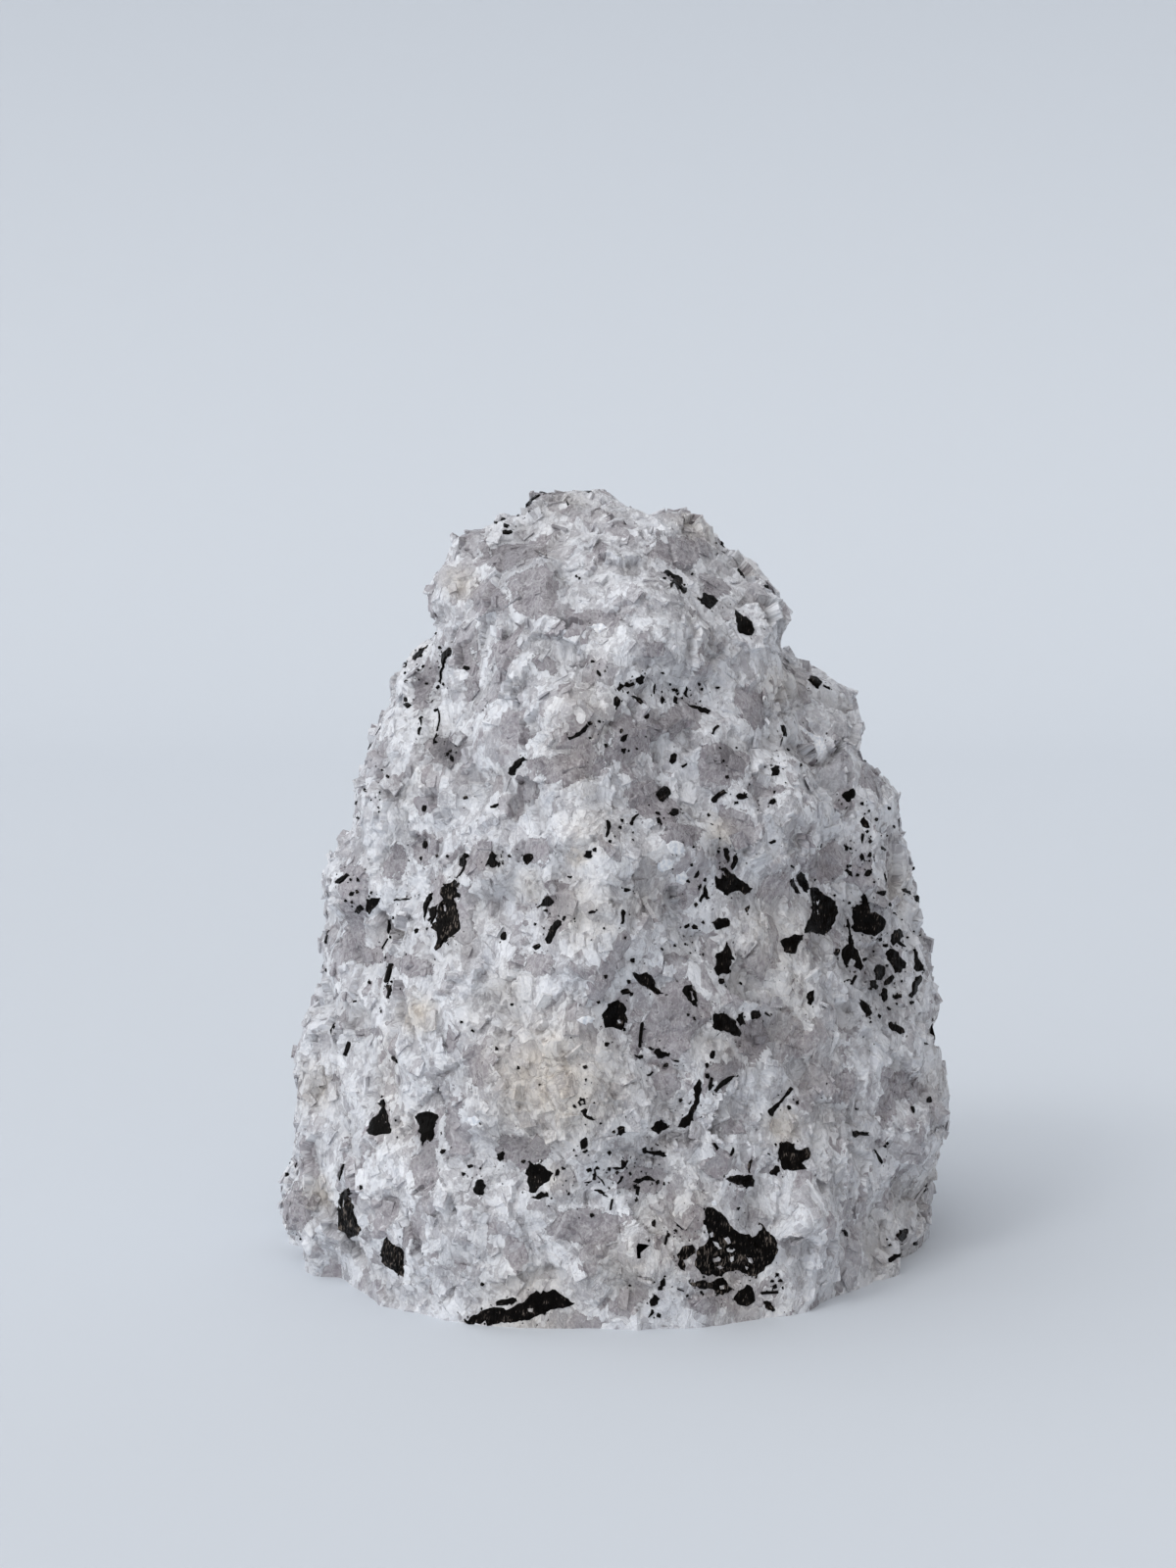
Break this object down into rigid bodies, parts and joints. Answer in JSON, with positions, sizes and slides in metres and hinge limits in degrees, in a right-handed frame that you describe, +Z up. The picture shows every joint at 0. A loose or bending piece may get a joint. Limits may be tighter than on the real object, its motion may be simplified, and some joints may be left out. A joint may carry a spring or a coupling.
{
  "type": "tourmalinated quartz specimen",
  "caption": "Free-standing rough block of white and grey crystalline stone set with black tourmaline, tapering to a rounded peak, on a sawn flat base.",
  "frame": {"origin": "middle of the block's outline, on the plane of its sawn flat base", "axes": "+Z up from the flat base to the peak, -Y towards the side that faces the viewer in the picture, +X to that viewer's right"},
  "size_m": [0.0942, 0.0814, 0.1049],
  "materials": {
    "quartz": "coarse broken crystal faces, white and translucent grey",
    "tourmaline": "glossy black with fine lengthwise grooves"
  },
  "bodies": {
    "root": {"quartz_block": "quartz"}
  },
  "joints": []
}
